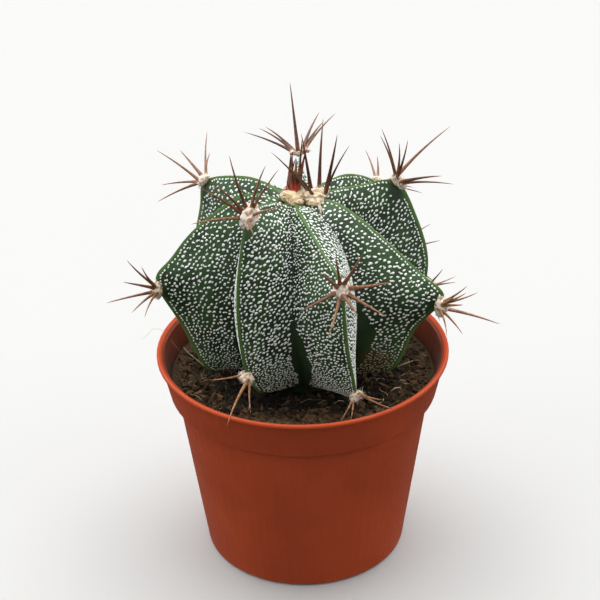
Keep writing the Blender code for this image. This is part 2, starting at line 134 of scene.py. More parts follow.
# Wool and spines: (turn, lean, length) with turn 0 up the crest and lean from straight out.
# The last two values are how old the spines look, from straw to dark, and the wool's warmth.
Bunch = namedtuple("Bunch", "name rib place face wool spines age warmth")
BUNCHES = (
    Bunch("areole_left", "left", 5.2, 4, (3.4, 2.6, 2.3), (
        (-25, 55, 20), (-38, 70, 20), (-51, 49, 20), (-87, 23, 20), (-86, 58, 20), (-89, 71, 20)), 0.5, 0.35),
    Bunch("areole_front_left_high", "front_left", 3.12, 45, (4.4, 3.0, 2.5), (
        (15, 33, 22), (-35, 42, 22), (-42, 52, 22), (-82, 53, 22), (149, 35, 22), (93, 18, 22),
        (67, 10, 22), (-123, 45, 22)), 0.65, 0.1),
    Bunch("areole_front_left_low", "front_left", 6.9, -12, (2.4, 2.9, 2.0), (
        (49, 35, 15), (-72, 17, 27), (-118, 34, 14)), 0.15, 0.5),
    Bunch("areole_front", "front", 4.7, 22, (3.2, 2.9, 2.0), (
        (51, 40, 20), (23, 40, 20), (-16, 37, 20), (-80, 35, 20), (-135, 31, 20), (139, 50, 20),
        (99, 58, 20), (162, 14, 20)), 0.58, 0.15),
    Bunch("areole_front_low", "front", 7.0, -15, (2.0, 2.4, 1.8), (
        (113, 57, 11), (120, 38, 9), (-30, 25, 19), (-18, 33, 15)), 0.1, 0.4),
    Bunch("areole_right", "right", 5.3, 0, (4.2, 2.7, 2.3), (
        (29, 52, 19), (38, 51, 19), (28, 38, 19), (53, 51, 19), (-143, 14, 21), (91, 47, 19),
        (90, 64, 19), (44, 61, 19)), 0.4, 0.3),
    Bunch("areole_back_right_high", "back_right", 3.05, 38, (4.0, 2.8, 2.4), (
        (13, 73, 21), (4, 68, 21), (33, 54, 21), (-48, 3, 26), (88, 51, 21), (112, 47, 21),
        (32, 63, 21)), 0.7, 0.2),
    Bunch("areole_back_right_low", "back_right", 5.8, -5, (3.4, 2.6, 2.2), (
        (-37, 15, 13), (-68, 8, 13), (100, 60, 11), (160, 60, 12), (-150, 55, 11), (20, 65, 11)), 0.3, 0.3),
    Bunch("areole_back_low_high", "back_low", 3.2, 40, (3.2, 2.6, 2.2), (
        (-97, 55, 18), (-117, 51, 18), (170, 60, 16), (-165, 50, 16), (120, 70, 15)), 0.6, 0.2),
    Bunch("areole_back_low_low", "back_low", 5.5, 0, (3.4, 2.6, 2.2), None, 0.3, 0.3),
    Bunch("areole_back_high", "back", 3.05, 45, (4.0, 3.0, 2.4), (
        (-116, 60, 24), (-133, 51, 24), (-140, 48, 24), (-14, 24, 25), (146, 32, 24), (147, 42, 24),
        (123, 39, 24)), 1.0, 0.2),
    Bunch("areole_back_mid", "back", 5.4, 0, (3.4, 2.6, 2.2), None, 0.3, 0.3),
    Bunch("areole_back_left_high", "back_left", 3.05, 35, (3.8, 2.8, 2.3), (
        (-147, 8, 20), (123, 37, 20), (77, 50, 20), (175, 53, 20), (-167, 66, 20), (104, 66, 20)), 0.6, 0.2),
    Bunch("areole_back_left_low", "back_left", 6.0, -5, (3.2, 2.6, 2.2), (
        (0, 50, 13), (60, 55, 14), (120, 50, 14), (180, 55, 12), (-120, 50, 13), (-60, 55, 13)), 0.3, 0.3),
    Bunch("areole_crown_young", (-2.5, 0.3), None, 90, (4.3, 4.3, 3.0), (
        (90, -5, 16.5), (50, -9, 14), (130, -7, 17), (10, -2, 12.5), (180, -4, 15.5), (-35, 4, 13.5),
        (-145, 4, 15), (-90, 10, 17), (-70, 13, 18), (-112, 7, 14.5), (-95, 5, 21.5), (160, -11, 13),
        (75, -12, 15)), 0.95, 1.0),
    Bunch("areole_crown_old", (6.3, 0.0), None, 90, (4.3, 4.3, 3.0), (
        (93, 8, 24), (-10, 24, 26), (-99, 11, 24), (-120, 25, 24), (106, 37, 24), (147, 41, 24)), 0.95, 0.75),
)
# Rise of the crown's wool over the hollow there, in millimetres
CROWN_WOOL_RISE = 1.2
# How far a bunch's middle stands off the crest, and the spines' roots off that middle, as shares of the wool
WOOL_LIFT = 0.25
ROOT_SPREAD = 0.5
# Half thickness at the base: a part for every spine and a part for each millimetre of its length
SPINE_THICKNESS = (0.44, 0.01)
# Bunches with thicker spines, and the same for the crown's young spines under a length
STOUT = {"areole_front": 1.2, "areole_back_high": 1.12, "areole_crown_old": 1.08}
YOUNG_STOUT = 1.5
YOUNG_LENGTH = 20
SPINE_BEND = 0.03
SPINE_SIDES = 8
# A spine's thickness along it: swollen where it leaves the wool, then drawn to a point
SPINE_PROFILE = ((0.0, 1.1), (0.1, 1.12), (0.2, 0.95), (0.35, 0.76), (0.5, 0.62), (0.65, 0.49),
                 (0.8, 0.34), (0.9, 0.22), (0.97, 0.1))
# Wool that isn't one tuft at its seat: (up, side, out, size) of each tuft, as shares of the bunch's wool
TUFTS = {
    "areole_crown_young": ((-0.3, 0.0, 0.3, 0.86), (-0.75, -0.2, 0.0, 0.66), (-0.3, 0.42, 0.4, 0.54)),
    "areole_crown_old": ((-0.25, 0.3, 0.35, 0.88), (-0.75, 0.3, 0.05, 0.7), (0.2, -0.25, 0.45, 0.55),
                         (0.1, 0.8, 0.3, 0.5)),
    "areole_front_left_high": ((0.0, -0.28, 0.0, 1.0),),
    "areole_back_left_high": ((0.0, -0.1, -0.1, 0.72),),
    "areole_back_right_high": ((-0.1, 0.0, -0.05, 0.86),),
    "areole_back_high": ((-0.15, -0.72, 0.0, 0.36), (0.15, 0.93, 0.2, 0.32), (-0.05, 0.0, -0.3, 0.38)),
}
ONE_TUFT = ((0.0, 0.0, 0.0, 1.0),)
WOOL_SWELL = Vector((1.08, 1.08, 0.85))
# Wool rises by this share round a spine's foot, over this width
PEAK_RISE = 0.42
PEAK_WIDTH = 0.3
FIBRE_RADII = (0.06, 0.05, 0.04)
# Loose strands that hang from the crown's wool over the skin: their count, thickness and path
STRAND_COUNT = 9
STRAND_RADII = (0.3, 0.22, 0.15, 0.1)
STRANDS = ((5.6, -3.6, 140.4), (6.1, -6.3, 139.4), (6.7, -8.1, 138.8), (7.0, -9.5, 138.1),
           (7.1, -11.6, 137.4))

# Pot and soil, as in the solid
COLLAR_Z = 65.0
SOIL_Z = 69.5
SOIL_EDGE = 47.7
SOIL_HOLE = 15.4
COLLAR_FOOT = 48.4
COLLAR_SLOPE = 0.2
HALF_WALL = 0.6
# Radius of the middle of the collar's wall, if its slope were carried down to the pot's base
COLLAR_MIDDLE = COLLAR_FOOT - COLLAR_SLOPE * COLLAR_Z - HALF_WALL
# Heights between which the pot's lip thins, in metres
THIN_LIP = (78.4 * MM, 79.4 * MM)
CRUST_SIDES = 260
CRUST_RINGS = 58
CRUST_BOTTOM_Z = 66.0
CRUST_LEAST_Z = 67.0
# Layer and grain of the crust's fine, coarse and gritty relief
SOIL_NOISE = ((3.0, 1.7), (9.0, 5.0), (5.0, 0.8))
# Least size of a crumb and the most that a draw adds to it; larger ones than the third get more faces
CRUMB_SIZES = (0.3, 1.25, 0.7)
# Chips that the photo shows: place on the soil, half sizes, turn in degrees and tone
PLACED_CHIPS = (((5.6, -29.0), (4.4, 1.5, 0.6), 12, 0.45), ((-37.0, -16.0), (2.2, 0.8, 0.3), 40, 1.0),
                ((-38.5, -13.0), (1.5, 0.6, 0.3), 110, 0.9), ((-35.0, -19.0), (1.8, 0.6, 0.3), -20, 1.0),
                ((12.0, -33.0), (2.6, 0.9, 0.4), -30, 0.3))
CHIP_OUTLINE = ((-1.0, -0.7), (-0.8, 0.8), (0.0, 1.0), (0.85, 0.7), (1.0, -0.6), (0.0, -0.9))
CHIP_CUTS = [2 * i / 6 - 1 for i in range(7)]
# Roots that the photo shows: thickness, tone and points; the last lies over the pot's lip
PLACED_ROOTS = (
    (0.24, 0.12, ((-44, 14, 71.7), (-42, 10, 71.6), (-39, 6, 71.4), (-36.5, 2.5, 71.2), (-35.7, -0.5, 70.9))),
    (0.3, 0.15, ((34, -1.5, 71.0), (37, 0, 71.5), (40, 1.4, 71.7), (42.6, 2.6, 71.6))),
    (0.2, 0.9, ((31, -17.5, 71.0), (32.4, -16.6, 71.7), (34, -16.4, 71.7), (35, -17, 71.1))),
    (0.09, 0.8, ((-44, 10, 71), (-47.8, 11, 76), (-50.6, 11.5, 80.15), (-52.4, 12, 80.9), (-54.8, 12.3, 80.9),
                 (-57, 10, 79.2), (-59, 8.5, 78.4))),
)

# Seeds of the random draws
SPINE_SEED, BEND_SEED, WOOL_SEED, CRUMB_SEED, CHIP_SEED, ROOT_SEED = 8, 5, 11, 21, 34, 55
# Middle of the camera's view
CAMERA_TARGET = (-0.63, 0.0, 98.77)


def linear(code):
    """An sRGB hex colour as linear red, green and blue."""
    parts = [int(code[i:i + 2], 16) / 255 for i in (1, 3, 5)]
    return tuple(c / 12.92 if c <= 0.04045 else ((c + 0.055) / 1.055) ** 2.4 for c in parts)


def colour(name, code, words):
    return FloatVectorProperty(name=name, description=words, subtype="COLOR", size=3,
                               min=0.0, max=1.0, default=linear(code))


def length(name, millimetres, words):
    return FloatProperty(name=name, description=words, default=millimetres * MM, min=0.0,
                         subtype="DISTANCE", unit="LENGTH", precision=5)


def angle(name, degrees, words):
    return FloatProperty(name=name, description=words, default=radians(degrees),
                         subtype="ANGLE", unit="ROTATION")


def strength(name, default, words):
    return FloatProperty(name=name, description=words, default=default, min=0.0)


def number(name, default, words):
    return IntProperty(name=name, description=words, default=default, min=0)


class CactusSkinSettings(PropertyGroup):
    """Colours of the skin, and how its felt flecks lie."""
    green: colour("Green", "#35502d", "Skin between the flecks")
    deep_green: colour("Deep green", "#1e301c", "Skin in shade and down the grooves")
    crest_green: colour("Crest green", "#4b6a33", "Thin line of paler skin along every crest")
    cork: colour("Cork", "#4b3d22", "Corky scars low on the body")
    fleck: colour("Fleck", "#f2f4ee", "White felt flecks")
    fleck_spacing: length("Fleck spacing", 1.36, "Least distance between flecks on the open flanks")
    fleck_length: length("Fleck length", 1.26, "Length of a fleck on the open flanks")
    seed: number("Seed", 3, "Draw of the flecks")


class CactusWoolSettings(PropertyGroup):
    """Colours of the wool and spines, and the wool's fibres."""
    wool: colour("Wool", "#ece0d4", "Wool of the areoles on the ribs")
    crown_wool: colour("Crown wool", "#dcc7a1", "Felted wool of the crown")
    straw: colour("Straw", "#a87b58", "Palest spines")
    brown: colour("Brown", "#5e3016", "Darkest spines")
    red: colour("Young red", "#a82c1a", "Base of the young spines in the crown")
    fibre_length: length("Fibre length", 1.3, "Length of the loose fibres on the wool")
    fibres: number("Fibres", 130, "Loose fibres on each bunch")


class CactusPotSettings(PropertyGroup):
    """Colours of the pot and of what lies in it."""
    plastic: colour("Plastic", "#b04a2a", "Moulded pot")
    grime: colour("Grime", "#3a2214", "Soil film on the pot's inner wall")
    peat: colour("Peat", "#2c2419", "Damp peat")
    dry_peat: colour("Dry peat", "#5a4530", "Crumbs that have dried")
    bark: colour("Bark", "#443021", "Chips of bark")
    root: colour("Root", "#cdb78d", "Dry root fibres")
    crumbs: number("Crumbs", 3400, "Loose crumbs on the soil")
    chips: number("Bark chips", 70, "Chips of bark on the soil")
    roots: number("Root fibres", 120, "Dry fibres on the soil")


class CactusStudioSettings(PropertyGroup):
    """Camera and light."""
    floor: colour("Floor", "#acacab", "Plain pale floor")
    air: colour("Air", "#fafafa", "What the camera sees beyond the floor")
    distance: length("Camera distance", 600, "From the camera to the middle of the view")
    lens: FloatProperty(name="Lens", description="Focal length on a 36 mm sensor", default=101.54,
                        unit="CAMERA")
    elevation: angle("Elevation", 29.42, "Angle at which the camera looks down")
    roll: angle("Roll", -1.07, "Turn of the camera about its own axis")
    overhead: strength("Overhead light", 4.2, "Strength of the soft light above")
    front: strength("Front light", 1.7, "Strength of the weak light in front")
    side: strength("Side lights", 2.7, "Strength of the left light; the right one is a little weaker")


def clamp(value, low=0.0, high=1.0):
    return min(max(value, low), high)


def drawn(pick, *limits):
    """A vector of three draws."""
    return Vector([pick(*limits) for _ in range(3)])


def rgba(shade):
    """A colour, or one number for a grey, as red, green, blue and full cover."""
    return (*shade[:3], 1.0) if hasattr(shade, "__len__") else (shade, shade, shade, 1.0)


def dimmed(shade, *shares):
    """A colour times one share, or times a share for each of its parts."""
    return tuple(c * share for c, share in zip(shade, shares * 3))


def blend(one, two, share):
    return tuple(a + (b - a) * share for a, b in zip(one, two))


def add(tree, kind, settings):
    """Add one shader node. A setting is a property, a ramp's stops, or an input's value or link."""
    made = tree.nodes.new("ShaderNode" + kind)
    for name, value in settings.items():
        if name == "stops":
            stops = made.color_ramp.elements
            while len(stops) < len(value):
                stops.new(1.0)
            for stop, (place, shade) in zip(stops, value):
                stop.position = place
                stop.color = rgba(shade)
        elif isinstance(value, NodeSocket):
            tree.links.new(value, made.inputs[name])
        elif isinstance(name, str) and hasattr(made, name):
            setattr(made, name, value)
        else:
            made.inputs[name].default_value = value
    return made


def cloud(tree, place, apart, detail, rough=0.5):
    """A cloudy pattern, its features this many millimetres apart."""
    return add(tree, "TexNoise", {"Scale": 1.0 / (apart * MM), "Detail": detail, "Roughness": rough,
                                  "Vector": place}).outputs["Fac"]


def mark(tree, name):
    """A value that the mesh carries at its points."""
    return add(tree, "Attribute", {"attribute_name": name}).outputs["Fac"]


def ramp(tree, value, *stops):
    """The colour or share that belongs to a value."""
    return add(tree, "ValToRGB", {"stops": stops, "Fac": value}).outputs["Color"]


def work(tree, operation, *values):
    """Arithmetic on numbers and sockets."""
    return add(tree, "Math", {"operation": operation, **dict(enumerate(values))}).outputs[0]


def scale_to(tree, value, first, last, start=0.0, end=1.0):
    """What goes from first to last while the value goes from start to end."""
    return add(tree, "MapRange", {"From Min": start, "From Max": end, "To Min": first, "To Max": last,
                                  "Value": value}).outputs["Result"]


def mix(tree, share, under, over, way="MIX"):
    """One colour laid over another by a share."""
    over = over if isinstance(over, NodeSocket) else rgba(over)
    return add(tree, "Mix", {"data_type": "RGBA", "blend_type": way, 0: share, 6: under, 7: over}).outputs[2]


def bump(tree, height, power, depth, **under):
    """Fine relief, this many millimetres deep."""
    return add(tree, "Bump", {"Strength": power, "Distance": depth * MM, "Height": height,
                              **under}).outputs["Normal"]


def start_material(name):
    """A new material, its nodes and the model's own coordinates."""
    old = bpy.data.materials.get(name)
    if old:
        bpy.data.materials.remove(old)
    material = bpy.data.materials.new(name)
    material.use_nodes = True
    tree = material.node_tree
    return material, tree, add(tree, "TexCoord", {}).outputs["Object"]


def shade_with(material, **looks):
    """Set the shader's fixed values, link what varies over the surface, and give back the material."""
    tree = material.node_tree
    for name, value in looks.items():
        socket = tree.nodes["Principled BSDF"].inputs[name.replace("_", " ")]
        if isinstance(value, NodeSocket):
            tree.links.new(value, socket)
        else:
            socket.default_value = value
    return material


def skin_material(look):
    """Living epidermis, grown with a thin wax bloom: dark, close-grained and softly satin."""
    material, tree, place = start_material("waxy living skin")
    # Patches a few millimetres wide, where the green is thinner
    patch = cloud(tree, place, 9, 5.0, 0.6)
    green = ramp(tree, patch, (0.36, look.deep_green), (0.62, look.green))
    # Painted shade: the skin darkens toward the deep green down each groove, where shade falls
    deep = mix(tree, ramp(tree, mark(tree, "groove"), (0.6, 0), (1.0, 0.9)), green, look.deep_green)
    # The crest line is about a millimetre wide, paler, and frays into the flank
    near = work(tree, "MULTIPLY", mark(tree, "crest_distance"), 0.6)
    ragged = work(tree, "MULTIPLY_ADD", cloud(tree, place, 1.6, 3.0), 0.45, near)
    lined = mix(tree, ramp(tree, ragged, (0.6, 0.9), (1.0, 0)), deep, look.crest_green)
    # Cork grows in broken patches where the skin was hurt
    reach = work(tree, "MULTIPLY", cloud(tree, place, 2.2, 6.0, 0.75), mark(tree, "scar"))
    skin = mix(tree, ramp(tree, reach, (0.18, 0), (0.3, 0.8)), lined, look.cork)
    # Cell grain of half a millimetre, over soft swellings
    relief = bump(tree, cloud(tree, place, 3, 2.0), 0.35, 0.25)
    fine = bump(tree, cloud(tree, place, 0.5, 4.0), 0.3, 0.06, Normal=relief)
    return shade_with(material, Base_Color=skin, Normal=fine, Roughness=scale_to(tree, patch, 0.4, 0.62),
                      IOR=1.45, Specular_IOR_Level=0.32, Coat_Weight=0.02, Coat_Roughness=0.35,
                      Subsurface_Weight=0.06, Subsurface_Scale=1.0, Subsurface_Radius=(0.001, 0.0014, 0.0006))


def felt_material(name, shade, dark_share, pile, bright):
    """Matted plant hair, dry and grown in tufts: bright, without gloss, shaded between clumps."""
    material, tree, place = start_material(name)
    clump = cloud(tree, place, pile, 5.0, 0.7)
    tufts = ramp(tree, clump, (0.33, dimmed(shade, dark_share)), (0.55, shade))
    # Painted shade: the wool is browner down in its creases and on its lower side. Flecks turn dull brown,
    # soiled round the scars and as painted shade near the soil
    deep = mix(tree, mark(tree, "crease"), tufts, dimmed(shade, 0.5, 0.38, 0.27))
    soiled = mix(tree, mark(tree, "dust"), deep, linear("#8a7850"))
    return shade_with(material, Base_Color=soiled, Normal=bump(tree, clump, 0.5, 0.15), Roughness=0.95,
                      IOR=1.4, Sheen_Weight=0.25, Sheen_Roughness=0.5, Subsurface_Weight=bright,
                      Subsurface_Scale=1.0, Subsurface_Radius=(0.0018, 0.0015, 0.0011))


def spine_material(name, straw, brown, base=None):
    """Dead horny spine, grown in fine rings: hard satin, straw to brown, darker toward the tip."""
    material, tree, place = start_material(name)
    along = mark(tree, "along")
    pale = ramp(tree, along, (0.0, straw), (0.75, straw), (1.0, brown))
    deep, ruddy = dimmed(brown, 0.55), blend(brown, straw, 0.35)
    stops = (0.0, ruddy), (0.14, brown), (0.35, deep), (0.7, brown), (1.0, ruddy)
    if base:
        stops = ((0.0, base), (0.3, base), (0.4, blend(deep, base, 0.2)), (0.52, deep),
                 (0.72, blend(brown, straw, 0.5)), (1.0, brown))
    aged = mix(tree, mark(tree, "age"), pale, ramp(tree, along, *stops))
    # Streaks down the spine, and growth rings every fortieth of its length
    streak = ramp(tree, cloud(tree, place, 1.2, 4.0), (0.35, 0.55), (0.65, 1.25))
    wave = work(tree, "SINE", work(tree, "MULTIPLY", along, 260.0))
    return shade_with(material, Base_Color=mix(tree, 1.0, aged, streak, "MULTIPLY"),
                      Normal=bump(tree, wave, 0.25, 0.05), Roughness=0.48, IOR=1.5, Specular_IOR_Level=0.35,
                      Coat_Weight=0.06, Coat_Roughness=0.3, Subsurface_Weight=0.12, Subsurface_Scale=1.0,
                      Subsurface_Radius=(0.0012, 0.0007, 0.0004))


def plastic_material(look):
    """Injection-moulded polypropylene, dyed terracotta: even colour, soft gloss, rubbed by handling."""
    material, tree, place = start_material("moulded polypropylene")
    x, y, z = add(tree, "SeparateXYZ", {"Vector": place}).outputs
    dyed = ramp(tree, cloud(tree, place, 30, 4.0), (0.4, dimmed(look.plastic, 0.86)), (0.62, look.plastic))
    # Specks of dust and lime about half a millimetre wide
    speck = add(tree, "TexVoronoi", {"Scale": 1.0 / (3.5 * MM), "Randomness": 1.0, "Vector": place})
    dots = ramp(tree, speck.outputs["Distance"], (0.05, 0.35), (0.11, 0))
    some = ramp(tree, cloud(tree, place, 14, 3.0), (0.52, 0), (0.66, 1))
    dusty = mix(tree, work(tree, "MULTIPLY", dots, some), dyed, linear("#d9a48c"))
    # Painted glow: the thin lip is tinted a deeper orange, as if lit through, and it shines less
    thin = scale_to(tree, z, 0.0, 1.0, *THIN_LIP)
    painted_lip_glow = mix(tree, thin, dusty, dimmed(look.plastic, 0.93, 0.82, 0.68))
    # Soil film inside the pot, up to a ragged tide line under the lip
    radius = work(tree, "SQRT", work(tree, "MULTIPLY_ADD", y, y, work(tree, "MULTIPLY", x, x)))
    middle = work(tree, "MULTIPLY_ADD", z, -COLLAR_SLOPE, -COLLAR_MIDDLE * MM)
    nearer = work(tree, "LESS_THAN", work(tree, "ADD", radius, middle), 0.0)
    higher = work(tree, "GREATER_THAN", z, (COLLAR_Z + 1) * MM)
    edge = work(tree, "MULTIPLY_ADD", cloud(tree, place, 7, 6.0, 0.7), 0.016, z)
    film = scale_to(tree, edge, 0.85, 0.35, 0.076, 0.088)
    soiled = work(tree, "MULTIPLY", work(tree, "MULTIPLY", nearer, higher), film)
    # Scuffs run round the wall, as pots rub in a tray
    stretch = add(tree, "Mapping", {"Scale": (1.0, 1.0, 7.0), "Vector": place}).outputs["Vector"]
    gloss = scale_to(tree, cloud(tree, stretch, 9, 6.0, 0.7), 0.34, 0.56, 0.35, 0.7)
    return shade_with(material, Base_Color=mix(tree, soiled, painted_lip_glow, look.grime), Roughness=gloss,
                      Normal=bump(tree, cloud(tree, place, 1.1, 3.0), 0.12, 0.05), IOR=1.49,
                      Specular_IOR_Level=scale_to(tree, z, 0.4, 0.12, *THIN_LIP),
                      Sheen_Weight=0.04, Sheen_Roughness=0.4, Subsurface_Weight=0.04, Subsurface_Scale=1.0,
                      Subsurface_Radius=(0.002, 0.0008, 0.0004))


def earth_material(name, wet, dry, grain):
    """Peat or bark, crumbled and damp: dull and dark, with drier edges."""
    material, tree, place = start_material(name)
    lump = cloud(tree, place, grain, 8.0, 0.75)
    # The tone mark carries the crust's and crumbs' painted shade under the plant and painted light in front
    dryness = work(tree, "MULTIPLY_ADD", mark(tree, "tone"), 0.55, lump)
    # Painted shade: the darkest colour, nearly neutral, stands for deep shade on the soil under the plant; on
    # chips and roots it is only their darkest tone
    darkest_and_shade = tuple(0.2 * c + 0.32 * sum(wet) / 3 for c in wet)
    earth = ramp(tree, dryness, (0.3, darkest_and_shade), (0.55, wet), (0.95, dry))
    return shade_with(material, Base_Color=earth, Normal=bump(tree, lump, 0.8, 0.4), Roughness=0.95,
                      IOR=1.4, Specular_IOR_Level=0.25)


def floor_material(look):
    """Painted backdrop board, matt and even."""
    material, tree, place = start_material("matt painted board")
    board = ramp(tree, cloud(tree, place, 1000 / 3, 2.0), (0.3, dimmed(look.floor, 0.985)), (0.7, look.floor))
    return shade_with(material, Base_Color=board, Roughness=0.9, Specular_IOR_Level=0.2)


def new_object(name, data):
    """An object in the scene, in place of an older one of its name."""
    old = bpy.data.objects.get(name)
    if old:
        bpy.data.objects.remove(old)
    ob = bpy.data.objects.new(name, data)
    bpy.context.scene.collection.objects.link(ob)
    return ob


def make_piece(name, verts, faces, material, slot, *stands_for, rounded=True, **marks):
    """A mesh object from points in millimetres, riding on the pot. Each mark is a value for every point."""
    mesh = bpy.data.meshes.new(name)
    mesh.from_pydata((np.asarray(verts, float) * MM).tolist(), [], faces)
    mesh.polygons.foreach_set("use_smooth", [rounded] * len(faces))
    mesh.update()
    mesh.materials.append(material)
    for key, values in marks.items():
        mesh.attributes.new(key, "FLOAT", "POINT").data.foreach_set("value", np.asarray(values, np.float32))
    ob = new_object(name, mesh)
    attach(ob, "root")
    if stands_for:
        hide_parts(*stands_for)
    return ob


def at(azimuth, out, up):
    return Vector((out * sin(azimuth), -out * cos(azimuth), up))


def rib_azimuth(rib, k):
    return radians(rib.azimuth + rib.crown_turn * CROWN_TURN_SHARE[k] + rib.foot_turn * FOOT_TURN_SHARE[k])


def crest_places(rib):
    """The crest at every place, from the crown's middle to the neck."""
    places = ((0.0, CROWN_Z), CROWN_RING, *rib[4:], UNDER, NECK)
    return [at(rib_azimuth(rib, k), *place) for k, place in enumerate(places)]


def groove_places(rib, following):
    """The groove between two ribs at every place."""
    points = []
    for k, place in enumerate(GROOVE):
        first = rib_azimuth(rib, k)
        step = (rib_azimuth(following, k) - first) % tau
        points.append(at(first + step / 2, *place))
    return points


CRESTS = [crest_places(rib) for rib in RIBS]
GROOVES = [groove_places(*pair) for pair in zip(RIBS, RIBS[1:] + RIBS[:1])]


def smooth(points, s):
    """A point on the smooth curve through the places, at place number s."""
    k = min(int(s), len(points) - 2)
    t = s - k
    one, two = points[k], points[k + 1]
    start = (two - points[k - 1]) * 0.5 if k else two - one
    end = (points[min(k + 2, len(points) - 1)] - one) * 0.5
    a = one * (2 * t**3 - 3 * t**2 + 1) + start * (t**3 - 2 * t**2 + t)
    return a + two * (3 * t**2 - 2 * t**3) + end * (t**3 - t**2)


def flank_ends(rib, side, s):
    """The crest and the groove of one flank of a rib at a place."""
    return smooth(CRESTS[rib], s), smooth(GROOVES[rib if side > 0 else rib - 1], s)


def flank_bulge(rib, s):
    """How full a flank is: the rib at the back has hollow flanks near the crown."""
    if RIBS[rib].name != SLIM_RIB:
        return FLANK_BULGE
    return FLANK_BULGE - SLIM_BULGE * max(0.0, 1.0 - abs(s - 2.6) / 1.6)


def flank_point(crest, groove, share, bulge=FLANK_BULGE):
    """A point on the slightly full flank between a crest and a groove."""
    chord = groove - crest
    across = Vector((chord.y, -chord.x, 0.0))
    middle = crest + chord * share
    if across.dot(Vector((middle.x, middle.y, 0.0))) < 0:
        across = -across
    return middle + across * bulge * 4 * share * (1 - share)


def bead_reach(rib):
    return BEAD_REACH.get(RIBS[rib].name, BEAD_REACH_USUAL)


def scar_at(spot):
    """How near a spot is to a corky scar, from 0 to 1."""
    return max(0.0, *(1 - (spot - Vector(c)).length / reach for c, reach in SCARS))


def lip(rib, s, reach):
    """The rounded lip that stands along a crest, as a shift in millimetres."""
    if reach > LIP_REACH or s < 1.0:
        return Vector()
    out = 2 * smooth(CRESTS[rib], s) - smooth(GROOVES[rib], s) - smooth(GROOVES[rib - 1], s)
    return out.normalized() * LIP_RISE * (1 - (reach / LIP_REACH) ** 2) * min(1.0, s - 1.0) * min(1.0, 9 - s)


def make_skin(look):
    """The whole body in fine rings, rounded along its crests, with marks that the material reads."""
    rows = [k + (i + 1) / count for k, count in enumerate(SPAN_ROWS) for i in range(count)]
    verts = [Vector((0.0, 0.0, CROWN_Z))]
    marks = [(0.0, 3.0)]
    for s in rows:
        for i in range(len(RIBS)):
            groove = smooth(GROOVES[i], s)
            for rib in (i, (i + 1) % len(RIBS)):
                crest = smooth(CRESTS[rib], s)
                chord = (groove - crest).length
                wide = CREST_BAND / bead_reach(rib)
                shares = [0.0, *(min(reach / chord, most) for reach, most in LIP_REACHES), *FLANK_SHARES]
                for share in shares if rib == i else [1.0] + shares[:0:-1]:
                    shift = lip(rib, s, share * chord)
                    verts.append(flank_point(crest, groove, share, flank_bulge(rib, s)) + shift)
                    marks.append((share, chord * share * wide))
    size = (len(verts) - 1) // len(rows)
    verts += [Vector((p.x, p.y, NECK_END_Z)) for p in verts[-size:]]
    verts.append(Vector((0.0, 0.0, NECK_END_Z)))
    marks += [(0.0, 9.0)] * (size + 1)
    last = len(verts) - 1
    faces = []
    for i in range(size):
        j = (i + 1) % size
        faces.append((0, 1 + i, 1 + j))
        for high in range(1, last - size, size):
            low = high + size
            faces.append((high + i, low + i, low + j, high + j))
        faces.append((last, last - size + j, last - size + i))
    groove, crest_distance = zip(*marks)
    ob = make_piece("skin", verts, faces, skin_material(look), "skin", "cactus_body", groove=groove,
                    crest_distance=crest_distance, scar=[scar_at(p) for p in verts])
    ob.modifiers.new("Rounding", "SUBSURF").levels = 1
    rounded = bpy.data.meshes.new_from_object(ob.evaluated_get(bpy.context.evaluated_depsgraph_get()))
    ob.modifiers.clear()
    rough, ob.data = ob.data, rounded
    bpy.data.meshes.remove(rough)


def surface_of(name):
    """A search tree of a piece's or node's surface, in metres."""
    ob = bpy.data.objects.get(name) or NODES.get(name)
    if ob is None:
        raise RuntimeError(f"{name} isn't there yet, so make it first")
    mesh = ob.data
    return BVHTree.FromPolygons([v.co for v in mesh.vertices], [tuple(p.vertices) for p in mesh.polygons])


def bunch_axes(bunch):
    """Where a bunch sits, the direction that it faces and the way up its crest."""
    if bunch.place is None:
        return Vector((*bunch.rib, CROWN_Z + CROWN_WOOL_RISE)), Vector((0, 0, 1)), Vector((0, 1, 0))
    index = [rib.name for rib in RIBS].index(bunch.rib)
    seat = smooth(CRESTS[index], bunch.place)
    flat = Vector((seat.x, seat.y, 0.0)).normalized()
    face = radians(bunch.face)
    out = flat * cos(face) + Vector((0, 0, sin(face)))
    up = Vector((0, 0, cos(face))) - flat * sin(face)
    return seat, out, up


def bunch_frame(bunch):
    """The middle of a bunch's wool, with its out, up and side."""
    seat, out, up = bunch_axes(bunch)
    return seat + out * WOOL_LIFT * bunch.wool[2], out, up, out.cross(up)


def draw_on_flank(rib, side, draw):
    """Evenly drawn points of a flank: spot, place, share, distance from the crest and two directions."""
    places = np.linspace(FIRST_PLACE, LAST_PLACE, GRID_ROWS)
    shares = np.linspace(0.0, LAST_SHARE, GRID_COLUMNS)
    p = np.zeros((GRID_ROWS, GRID_COLUMNS, 3))
    reach = np.zeros((GRID_ROWS, GRID_COLUMNS))
    for k, s in enumerate(places):
        crest, groove = flank_ends(rib, side, s)
        p[k] = [flank_point(crest, groove, share, flank_bulge(rib, s)) for share in shares]
        reach[k] = (groove - crest).length * shares
    down = p[1:, :-1] - p[:-1, :-1]
    across = p[:-1, 1:] - p[:-1, :-1]
    area = np.linalg.norm(np.cross(down, across), axis=2)
    cells = draw.choice(area.size, FLECK_DRAWS, p=(area / area.sum()).ravel())
    i, j = np.divmod(cells, GRID_COLUMNS - 1)
    u, v = draw.random(FLECK_DRAWS), draw.random(FLECK_DRAWS)
    spots = p[i, j] + u[:, None] * down[i, j] + v[:, None] * across[i, j]
    return zip(spots, places[i] + u * (places[1] - places[0]), shares[j] + v * shares[1],
               reach[i, j] + v * (reach[i, j + 1] - reach[i, j]), across[i, j], down[i, j])


